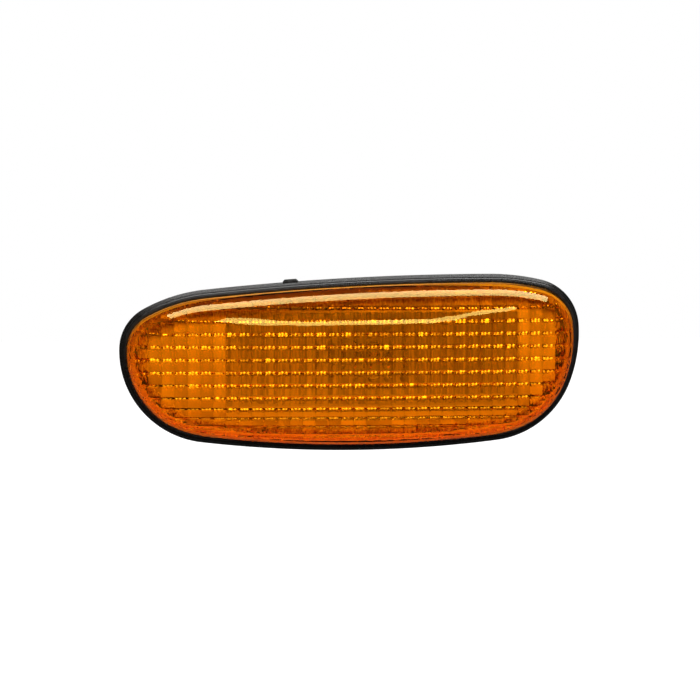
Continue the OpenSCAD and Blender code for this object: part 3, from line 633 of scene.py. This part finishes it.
def streak_group():
    """Node group of painted shade in streaks: noise that is fine along x and long along the
    others, as a colour between two values, on the faces that look to the front."""
    if "Painted Shade Streaks" in bpy.data.node_groups:
        return bpy.data.node_groups["Painted Shade Streaks"]
    g = bpy.data.node_groups.new("Painted Shade Streaks", "ShaderNodeTree")
    face = g.interface
    for label in ("Light", "Dark"):
        face.new_socket(label, in_out="INPUT", socket_type="NodeSocketColor")
    face.new_socket("Color", in_out="OUTPUT", socket_type="NodeSocketColor")
    n, link = g.nodes, g.links.new
    source, sink = n.new("NodeGroupInput"), n.new("NodeGroupOutput")
    where, stretch = n.new("ShaderNodeTexCoord"), n.new("ShaderNodeMapping")
    stretch.inputs["Scale"].default_value = STREAK_SCALE
    noise, tint = n.new("ShaderNodeTexNoise"), n.new("ShaderNodeMix")
    wide = n.new("ShaderNodeMapRange")
    noise.inputs["Scale"].default_value = 1.0
    noise.inputs["Detail"].default_value = 3.0
    wide.inputs["From Min"].default_value, wide.inputs["From Max"].default_value = STREAK_SPAN
    tint.data_type = "RGBA"
    link(where.outputs["Object"], stretch.inputs["Vector"])
    link(stretch.outputs[0], noise.inputs["Vector"])
    link(noise.outputs["Fac"], wide.inputs["Value"])
    split = n.new("ShaderNodeSeparateXYZ")
    front, either = n.new("ShaderNodeMath"), n.new("ShaderNodeMath")
    front.operation, either.operation = "GREATER_THAN", "MAXIMUM"
    front.inputs[1].default_value = FRONT_NORMAL
    link(where.outputs["Normal"], split.inputs[0])
    link(split.outputs["Y"], front.inputs[0])
    link(wide.outputs[0], either.inputs[0])
    link(front.outputs[0], either.inputs[1])
    link(either.outputs[0], tint.inputs["Factor"])
    link(source.outputs["Dark"], tint.inputs["A"])
    link(source.outputs["Light"], tint.inputs["B"])
    link(tint.outputs["Result"], sink.inputs["Color"])
    return g


def textured_shader(tree, base, worn, scale, depth, rough):
    """Principled shader with roughness and normal from the grain group; it gives both nodes."""
    shader = tree.nodes.new("ShaderNodeBsdfPrincipled")
    grain = tree.nodes.new("ShaderNodeGroup")
    grain.node_tree = grain_group()
    for label, value in (
        ("Base", (*base, 1)),
        ("Worn", (*worn, 1)),
        ("Scale", scale),
        ("Depth", depth),
        ("Rough Low", rough[0]),
        ("Rough High", rough[1]),
    ):
        grain.inputs[label].default_value = value
    tree.links.new(grain.outputs["Roughness"], shader.inputs["Roughness"])
    tree.links.new(grain.outputs["Normal"], shader.inputs["Normal"])
    return shader, grain


def grained(name, base, worn, scale, depth, rough, metal=0.0, gloss=0.5, streak=None):
    """Principled material whose colour, roughness and normal come from the grain group; a dark
    colour of painted shade crosses both its colours in streaks."""
    made, tree, out = material(name)
    shader, grain = textured_shader(tree, base, worn, scale, depth, rough)
    shader.inputs["Metallic"].default_value = metal
    shader.inputs["Specular IOR Level"].default_value = gloss
    if streak:
        shade_streaks = tree.nodes.new("ShaderNodeGroup")
        shade_streaks.node_tree = streak_group()
        shade_streaks.inputs["Light"].default_value = (*worn, 1)
        shade_streaks.inputs["Dark"].default_value = (*streak, 1)
        tree.links.new(shade_streaks.outputs[0], grain.inputs["Worn"])
        tree.links.new(shade_streaks.outputs[0], grain.inputs["Base"])
    tree.links.new(grain.outputs["Color"], shader.inputs["Base Color"])
    tree.links.new(shader.outputs[0], out.inputs["Surface"])
    return made


def clear_material(name, colour, shadow_colour, ior, gloss=(1, 1, 1), painted_shade=None, depth_tint=None):
    """Clear plastic or glass: a transmitting Principled shader that lets shadow rays and diffuse
    rays straight through, tinted. The mesh's share of painted shade draws the colour towards a
    dark one, a painted shade for where light bent in the lens leaves it darker red, and a depth
    tint is the colour that is left after one millimetre inside."""
    made, tree, out = material(name)
    n, link = tree.nodes, tree.links.new
    shader = n.new("ShaderNodeBsdfPrincipled")
    shader.inputs["Base Color"].default_value = (*colour, 1)
    shader.inputs["Roughness"].default_value = 0.0
    shader.inputs["IOR"].default_value = ior
    shader.inputs["Transmission Weight"].default_value = 1.0
    shader.inputs["Specular Tint"].default_value = (*gloss, 1)
    # Painted shade: the mesh's share mixes the lens colour towards the dark painted shade colour
    if painted_shade:
        share = n.new("ShaderNodeAttribute")
        share.attribute_name = "painted_shade"
        tint = n.new("ShaderNodeMix")
        tint.data_type = "RGBA"
        tint.inputs["A"].default_value = (*colour, 1)
        tint.inputs["B"].default_value = (*painted_shade, 1)
        link(share.outputs["Fac"], tint.inputs["Factor"])
        link(tint.outputs["Result"], shader.inputs["Base Color"])
    through = n.new("ShaderNodeBsdfTransparent")
    through.inputs["Color"].default_value = (*shadow_colour, 1)
    ray = n.new("ShaderNodeLightPath")
    either = n.new("ShaderNodeMath")
    either.operation = "MAXIMUM"
    link(ray.outputs["Is Shadow Ray"], either.inputs[0])
    link(ray.outputs["Is Diffuse Ray"], either.inputs[1])
    mix = n.new("ShaderNodeMixShader")
    link(either.outputs[0], mix.inputs["Fac"])
    link(shader.outputs[0], mix.inputs[1])
    link(through.outputs[0], mix.inputs[2])
    link(mix.outputs[0], out.inputs["Surface"])
    if depth_tint:
        loss = [-math.log(share) / MM for share in depth_tint]
        inside = n.new("ShaderNodeVolumeAbsorption")
        inside.inputs["Density"].default_value = max(loss)
        inside.inputs["Color"].default_value = (*[1 - x / max(loss) for x in loss], 1)
        link(inside.outputs[0], out.inputs["Volume"])
    return made


def frosted_material(name, outside, inside):
    """Frosted plastic: mostly Principled, part translucent, with one colour for what is seen from
    outside and a paler one for what is seen from inside, through the clear plastic."""
    made, tree, out = material(name)
    n, link = tree.nodes, tree.links.new
    shader, _ = textured_shader(tree, outside, inside, 900, 0.00005, (0.4, 0.6))
    side, paint = n.new("ShaderNodeNewGeometry"), n.new("ShaderNodeMix")
    paint.data_type = "RGBA"
    paint.inputs["A"].default_value = (*outside, 1)
    paint.inputs["B"].default_value = (*inside, 1)
    through, mix = n.new("ShaderNodeBsdfTranslucent"), n.new("ShaderNodeMixShader")
    mix.inputs["Fac"].default_value = TRANSLUCENT_SHARE
    link(side.outputs["Backfacing"], paint.inputs["Factor"])
    link(paint.outputs["Result"], shader.inputs["Base Color"])
    link(paint.outputs["Result"], through.inputs["Color"])
    link(shader.outputs[0], mix.inputs[1])
    link(through.outputs[0], mix.inputs[2])
    link(mix.outputs[0], out.inputs["Surface"])
    return made


# Colours and refractive indices of the clear and the frosted pieces. The glass has a low index, so
# that the bulb hardly shows through the lens, as in the photograph.
ACRYLIC_IOR, GLASS_IOR = 1.49, 1.25
LENS_GLOSS = (1, 0.75, 0.17)
SKIRT_OUTSIDE, SKIRT_INSIDE = (1.0, 0.38, 0.01), (1.0, 0.9, 0.2)
GLASS, GLASS_SHADE = (0.98, 0.99, 1), (0.95, 0.96, 0.96)

# Finishes: base colour, worn colour, scale and depth of the grain, lowest and highest roughness
FINISHES = {
    "Rim Rubber": ((0.004, 0.0036, 0.003), (0.008, 0.007, 0.006), 1500, 0.00002, (0.24, 0.4)),
    "Lead Wire": ((0.4, 0.39, 0.37), (0.5, 0.49, 0.47), 2500, 0.00001, (0.35, 0.5)),
    "Tungsten": ((0.18, 0.18, 0.19), (0.3, 0.3, 0.32), 3000, 0.00001, (0.35, 0.5)),
    "Housing Plastic": ((0.6, 0.59, 0.57), (0.68, 0.67, 0.65), 700, 0.00004, (0.35, 0.5)),
    "Sealant": ((0.55, 0.53, 0.48), (0.65, 0.63, 0.58), 500, 0.0001, (0.4, 0.6)),
    "Spring Steel": ((0.5, 0.5, 0.51), (0.62, 0.62, 0.63), 1200, 0.00002, (0.25, 0.4)),
    "Holder Plastic": ((0.42, 0.41, 0.39), (0.5, 0.49, 0.47), 900, 0.00005, (0.4, 0.6)),
    "Seal Rubber": ((0.02, 0.02, 0.022), (0.035, 0.035, 0.037), 900, 0.00003, (0.5, 0.7)),
    "Contact Brass": ((0.72, 0.5, 0.2), (0.8, 0.6, 0.3), 1600, 0.00001, (0.2, 0.35)),
}


def finish(name, **more):
    """Grained material of a name in the table of finishes."""
    return grained(name, *FINISHES[name], **more)


def dress(node, made):
    """Gives a CAD node's object this material in its only slot."""
    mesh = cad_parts[node].data
    mesh.materials.clear()
    mesh.materials.append(made)


# ---- Settings


class LampSettings(PropertyGroup):
    """Sizes and colours of the lamp's looks."""

    flute_pitch: FloatProperty(
        name="Flute Pitch", description="Width of one upright flute", default=0.00325, unit="LENGTH"
    )
    flute_start: FloatProperty(
        name="Flute Start", description="Place of one flute's edge", default=0.00011, unit="LENGTH"
    )
    flute_depth: FloatProperty(
        name="Flute Depth", description="Height of a flute", default=0.00035, unit="LENGTH"
    )
    row_pitch: FloatProperty(
        name="Row Pitch", description="Height of one row of optics", default=0.00325, unit="LENGTH"
    )
    row_start: FloatProperty(
        name="Row Start", description="Place of one row's edge", default=0.00095, unit="LENGTH"
    )
    ridge_width: FloatProperty(
        name="Ridge Width", description="Width of the ridge in a row", default=0.0012, unit="LENGTH"
    )
    ridge_depth: FloatProperty(
        name="Ridge Depth", description="Height of a row's ridge", default=0.0006, unit="LENGTH"
    )
    mould_wander: FloatProperty(
        name="Mould Wander", description="Unevenness of the optics", default=0.000008, unit="LENGTH"
    )
    flute_steps: IntProperty(name="Flute Steps", description="Grid lines in a flute", default=14)
    ridge_steps: IntProperty(name="Ridge Steps", description="Grid lines in a ridge", default=6)
    plain_steps: IntProperty(name="Plain Steps", description="Grid lines between ridges", default=4)
    shoulder_steps: IntProperty(name="Shoulder Steps", description="Shoulder's rings", default=20)
    crown_steps: IntProperty(name="Crown Steps", description="Rings over the crown", default=10)
    rim_steps: IntProperty(name="Rim Steps", description="Sections round the rim", default=720)
    rib_count: IntProperty(name="Ribs", description="Fine ribs on the rim's flank", default=4)
    rib_height: FloatProperty(
        name="Rib Height", description="Height of a fine rib", default=0.0002, unit="LENGTH"
    )
    amber: FloatVectorProperty(
        name="Amber", description="Colour of the lens", default=(0.99, 0.48, 0.036), subtype="COLOR"
    )
    amber_shade: FloatVectorProperty(
        name="Amber Shade", description="Colour of light through the lens",
        default=(0.995, 0.83, 0.48), subtype="COLOR",
    )
    amber_depth: FloatVectorProperty(
        name="Amber Depth", description="Colour left after a millimetre of the lens",
        default=(0.995, 0.93, 0.7), subtype="COLOR",
    )
    # Painted shade: the dark red colour mixed into the lens where it shows shade from light bent
    # inside it
    amber_painted_shade: FloatVectorProperty(
        name="Amber Painted Shade", description="Painted shade colour of the lens",
        default=(0.34, 0.06, 0.001), subtype="COLOR",
    )


def settings():
    """The lamp's settings in the current scene."""
    return bpy.context.scene.lamp_settings


# ---- Stage

# Lamps: name, bearing from the part, size in metres and watts. Reflections see none of them. The
# fill card lights no surface: only rays that have passed through something clear see it.
LAMPS = (
    ("key softbox", (0, 48, 0.9), (0.9, 0.5), 9.4),
    ("overhead softbox", (0, 84, 0.95), (1.09, 0.4), 1.2),
    ("side softbox", (-68, 12, 0.8), (0.3, 0.5), 2.1),
    ("side softbox", (61, 12, 0.8), (0.3, 0.5), 2.1),
    ("fill card", (-3.5, 8, 1.3), (1.6, 1.2), 15),
)

# Front card: azimuth, lower and upper elevation at each place along it, at one distance
CARD_EDGES = (
    (-13.0, 34.5, 41.5),
    (-9.3, 25.3, 36.4),
    (-6.6, 17.3, 29.7),
    (-4.6, 12.4, 23.0),
    (-0.9, 10.0, 14.5),
    (3.4, 9.7, 12.2),
    (7.5, 9.8, 12.2),
    (10.9, 10.0, 12.2),
    (13.0, 11.0, 14.5),
    (16.4, 17.8, 27.0),
    (24.0, 33.0, 36.5),
)
CARD_DISTANCE, FRONT_GLOW, TOP_GLOW = 1.5, 14, 13

# Level rectangles, in metres: left, right, front, back and level
TOP_CARD = (-0.47, 0.62, -0.29, 0.11, 0.89)
FLOOR = (-1.5, 1.5, -0.05, 2, -0.16)

# World, by the direction's y: strengths for diffuse rays in front and behind, for rays that passed
# through something and look behind, and for reflections in front and behind
SOFT_FROM, SOFT_FRONT, SOFT_BEHIND = -0.6, 0.35, 0.55
PASSED_FROM, PASSED_TO, PASSED_BEHIND = -0.6, 0.4, 0.15
ROOM_HALF, ROOM_FRONT, ROOM_BEHIND = 0.15, 0.02, 0.03

# Floor: what the camera sees of it and what light it gives back to the lamp
FLOOR_WHITE, FLOOR_GLOW, FLOOR_BOUNCE = 0.9, 0.78, 0.06

# Camera: the photograph's view, its distance and width in metres, the photograph's scale, the aim
# in its pixels from the part's origin, and the sensor's width in millimetres
VIEW_AZIMUTH, VIEW_ELEVATION, VIEW_DISTANCE, VIEW_WIDTH = -3.5, 5.0, 0.5, 0.18312
MM_PER_PIXEL, AIM_RIGHT, AIM_UP, SENSOR = 0.2616, -0.25, 12, 36


def from_lamp(azimuth, elevation, distance):
    """Point at a bearing from the lamp: azimuth 0 is straight in front of it, 90 to its right."""
    a, e = math.radians(azimuth), math.radians(elevation)
    return (
        distance * math.sin(a) * math.cos(e),
        -distance * math.cos(a) * math.cos(e),
        distance * math.sin(e),
    )


def facing(place, aim):
    """Rotation of a lamp or camera that looks from its place towards the aim."""
    return (Vector(aim) - Vector(place)).to_track_quat("-Z", "Y").to_euler()


def area_light(name, place, size, power):
    """Rectangular lamp in metres, looking at the middle of the part."""
    data = bpy.data.lights.new(name, "AREA")
    data.shape = "RECTANGLE"
    data.size, data.size_y = size
    data.energy = power
    lamp = bpy.data.objects.new(name, data)
    lamp.location = place
    lamp.rotation_euler = facing(place, (0, 0, 0))
    bpy.context.scene.collection.objects.link(lamp)
    return lamp


def flat_piece(name, points, faces, made):
    """Object of the stage from points in metres, with its material."""
    mesh = bpy.data.meshes.new(name)
    mesh.from_pydata(points, [], faces)
    mesh.materials.append(made)
    piece = bpy.data.objects.new(name, mesh)
    bpy.context.scene.collection.objects.link(piece)
    return piece


def rectangle(left, right, front, back, level):
    """Corners of a level rectangle."""
    return [(left, front, level), (right, front, level), (right, back, level), (left, back, level)]


def reflection_card(name, points, faces, strength):
    """Glowing card that only reflections see."""
    made, tree, out = material(name.replace("_", " ").title())
    glow = tree.nodes.new("ShaderNodeEmission")
    glow.inputs["Strength"].default_value = strength
    tree.links.new(glow.outputs[0], out.inputs["Surface"])
    card = flat_piece(name, points, faces, made)
    card.visible_camera = card.visible_diffuse = False
    card.visible_transmission = card.visible_shadow = False


def reflection_cards():
    """The two highlights of the lens: a curved card in front, whose edges are given as bearings
    and two elevations, and a level card overhead."""
    points = [from_lamp(a, e, CARD_DISTANCE) for a, low, high in CARD_EDGES for e in (low, high)]
    faces = [(i, i + 2, i + 3, i + 1) for i in range(0, len(points) - 2, 2)]
    reflection_card("front_card", points, faces, FRONT_GLOW)
    reflection_card("top_card", rectangle(*TOP_CARD), [(0, 1, 2, 3)], TOP_GLOW)


def floor_material():
    """Pale floor: white with its shadow to the camera, and nearly dark to all other rays."""
    made, tree, out = material("Floor")
    n, link = tree.nodes, tree.links.new
    diffuse, bounce = n.new("ShaderNodeBsdfDiffuse"), n.new("ShaderNodeBsdfDiffuse")
    for shader, grey in ((diffuse, FLOOR_WHITE), (bounce, FLOOR_BOUNCE)):
        shader.inputs["Color"].default_value = (grey, grey, grey, 1)
    glow, add = n.new("ShaderNodeEmission"), n.new("ShaderNodeAddShader")
    glow.inputs["Strength"].default_value = FLOOR_GLOW
    ray, mix = n.new("ShaderNodeLightPath"), n.new("ShaderNodeMixShader")
    link(diffuse.outputs[0], add.inputs[0])
    link(glow.outputs[0], add.inputs[1])
    link(ray.outputs["Is Camera Ray"], mix.inputs["Fac"])
    link(bounce.outputs[0], mix.inputs[1])
    link(add.outputs[0], mix.inputs[2])
    link(mix.outputs[0], out.inputs["Surface"])
    return made


def build_world(scene):
    """Room: white to the camera and to rays that passed through something and look to the front,
    dark to reflections, and softly lit for all other rays."""
    world = bpy.data.worlds.new("Studio")
    scene.world = world
    world.use_nodes = True
    tree = world.node_tree
    tree.nodes.clear()
    n, link = tree.nodes, tree.links.new
    where, split = n.new("ShaderNodeTexCoord"), n.new("ShaderNodeSeparateXYZ")
    link(where.outputs["Generated"], split.inputs[0])

    def by_depth(start, end, low=0.0, high=1.0):
        ramp = n.new("ShaderNodeMapRange")
        spans = {"From Min": start, "From Max": end, "To Min": low, "To Max": high}
        for label, value in spans.items():
            ramp.inputs[label].default_value = value
        link(split.outputs["Y"], ramp.inputs["Value"])
        return ramp.outputs[0]

    def background(strength=1.0, white=False):
        made = n.new("ShaderNodeBackground")
        made.inputs["Strength"].default_value = strength
        if white:
            made.inputs["Color"].default_value = (1, 1, 1, 1)
        return made

    def combine(operation, a, b):
        made = n.new("ShaderNodeMath")
        made.operation = operation
        link(a, made.inputs[0])
        link(b, made.inputs[1])
        return made.outputs[0]

    def mixed(share, a, b):
        made = n.new("ShaderNodeMixShader")
        link(share, made.inputs["Fac"])
        link(a, made.inputs[1])
        link(b, made.inputs[2])
        return made.outputs[0]

    soft = background()
    link(by_depth(SOFT_FROM, 0.0, SOFT_FRONT, SOFT_BEHIND), soft.inputs["Strength"])
    ray = n.new("ShaderNodeLightPath").outputs
    front = by_depth(PASSED_TO, PASSED_FROM, PASSED_BEHIND)
    passed = combine("MULTIPLY", ray["Is Transmission Ray"], front)
    through = combine("MAXIMUM", ray["Is Camera Ray"], passed)
    room = mixed(
        by_depth(-ROOM_HALF, ROOM_HALF),
        background(ROOM_FRONT).outputs[0],
        background(ROOM_BEHIND, True).outputs[0],
    )
    unseen = mixed(ray["Is Glossy Ray"], soft.outputs[0], room)
    seen = mixed(through, unseen, background(white=True).outputs[0])
    link(seen, n.new("ShaderNodeOutputWorld").inputs["Surface"])


def build_camera(scene):
    """Camera at the photograph's viewing angle."""
    camera = bpy.data.objects.new("camera", bpy.data.cameras.new("camera"))
    scene.collection.objects.link(camera)
    camera.data.sensor_width = SENSOR
    camera.data.lens = SENSOR * VIEW_DISTANCE / VIEW_WIDTH
    camera.data.clip_start = 0.01
    aim = Vector((AIM_RIGHT * MM_PER_PIXEL * MM, 0, AIM_UP * MM_PER_PIXEL * MM))
    camera.location = aim + Vector(from_lamp(VIEW_AZIMUTH, VIEW_ELEVATION, VIEW_DISTANCE))
    camera.rotation_euler = facing(camera.location, aim)
    scene.camera = camera


# ---- Operators


class LAMP_OT_lens(Operator):
    """Builds the amber lens with its flutes and ridges"""

    bl_idname = "lamp.lens"
    bl_label = "Amber Lens"

    def execute(self, context):
        s = settings()
        cloud, faces, skirt, painted_shade_shares = lens_mesh(s)
        piece = new_piece("amber_lens", cloud, faces, smooth_angle=40)
        # Each point's share of painted shade, read by the lens material
        piece.data.attributes.new("painted_shade", "FLOAT", "POINT").data.foreach_set("value", painted_shade_shares)
        clear = clear_material(
            "Amber Acrylic",
            s.amber,
            s.amber_shade,
            ACRYLIC_IOR,
            LENS_GLOSS,
            s.amber_painted_shade,
            s.amber_depth,
        )
        piece.data.materials.append(clear)
        piece.data.materials.append(frosted_material("Amber Skirt", SKIRT_OUTSIDE, SKIRT_INSIDE))
        for i in skirt:
            piece.data.polygons[i].material_index = 1
        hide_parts("lens")
        return {"FINISHED"}


class LAMP_OT_rim(Operator):
    """Builds the ribbed rubber rim and its fitting tab"""

    bl_idname = "lamp.rim"
    bl_label = "Rubber Rim"

    def execute(self, context):
        rubber = finish("Rim Rubber", gloss=0.3)
        cloud, faces = rim_mesh(settings())
        rim = new_piece("rubber_rim", cloud, faces, smooth_angle=50)
        rim.data.materials.append(rubber)
        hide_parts("gasket")
        cloud, faces = tab_mesh()
        tab = new_piece("fitting_tab", cloud, faces, smooth_angle=30)
        tab.data.materials.append(rubber)
        return {"FINISHED"}


class LAMP_OT_bulb(Operator):
    """Builds the filament and gives the bulb its glass and wires"""

    bl_idname = "lamp.bulb"
    bl_label = "Wedge Bulb"

    def execute(self, context):
        dress("bulb_glass", clear_material("Bulb Glass", GLASS, GLASS_SHADE, GLASS_IOR))
        wire = finish("Lead Wire", metal=1.0)
        dress("bulb_lead_left", wire)
        dress("bulb_lead_right", wire)
        cloud, faces = coil_mesh()
        coil = new_piece("filament_coil", cloud, faces, smooth_angle=60)
        coil.data.materials.append(finish("Tungsten", metal=1.0))
        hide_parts("bulb_filament")
        return {"FINISHED"}


class LAMP_OT_housing(Operator):
    """Gives the housing, sealant, clip and holder their finishes"""

    bl_idname = "lamp.housing"
    bl_label = "Housing and Holder"

    def execute(self, context):
        # The housing's faces that look to the front carry painted shade in streaks, in the dark
        # colour given
        dress("housing", finish("Housing Plastic", streak=(0.38, 0.37, 0.35)))
        dress("lens_sealant", finish("Sealant"))
        dress("spring_clip", finish("Spring Steel", metal=1.0))
        dress("bulb_holder", finish("Holder Plastic"))
        dress("holder_seal", finish("Seal Rubber"))
        brass = finish("Contact Brass", metal=1.0)
        dress("contact_left", brass)
        dress("contact_right", brass)
        return {"FINISHED"}


class LAMP_OT_stage(Operator):
    """Builds the floor, the backdrop light, the lamps and the camera"""

    bl_idname = "lamp.stage"
    bl_label = "Studio"

    def execute(self, context):
        scene = context.scene
        floor = flat_piece("floor", rectangle(*FLOOR), [(0, 1, 2, 3)], floor_material())
        build_world(scene)
        for name, bearing, size, power in LAMPS:
            lamp = area_light(name, from_lamp(*bearing), size, power)
            lamp.visible_glossy = False
            lamp.visible_diffuse = name != "fill card"
        reflection_cards()
        build_camera(scene)
        scene.view_settings.view_transform = "Standard"
        return {"FINISHED"}


class LAMP_PT_panel(Panel):
    """Lists the lamp's pieces"""

    bl_idname = "LAMP_PT_panel"
    bl_label = "Indicator Lamp"
    bl_space_type = "VIEW_3D"
    bl_region_type = "UI"
    bl_category = "Lamp"

    def draw(self, context):
        for step in STEPS:
            self.layout.operator(step.bl_idname)
        for name in LampSettings.__annotations__:
            self.layout.prop(context.scene.lamp_settings, name)


STEPS = (LAMP_OT_stage, LAMP_OT_lens, LAMP_OT_rim, LAMP_OT_bulb, LAMP_OT_housing)
CLASSES = (LampSettings, *STEPS, LAMP_PT_panel)


def register():
    for made in CLASSES:
        bpy.utils.register_class(made)
    bpy.types.Scene.lamp_settings = PointerProperty(type=LampSettings)


def unregister():
    del bpy.types.Scene.lamp_settings
    for made in reversed(CLASSES):
        bpy.utils.unregister_class(made)


def main():
    """Builds every piece in order."""
    register()
    for step in STEPS:
        group, name = step.bl_idname.split(".")
        getattr(getattr(bpy.ops, group), name)()


if __name__ == "__main__":
    main()
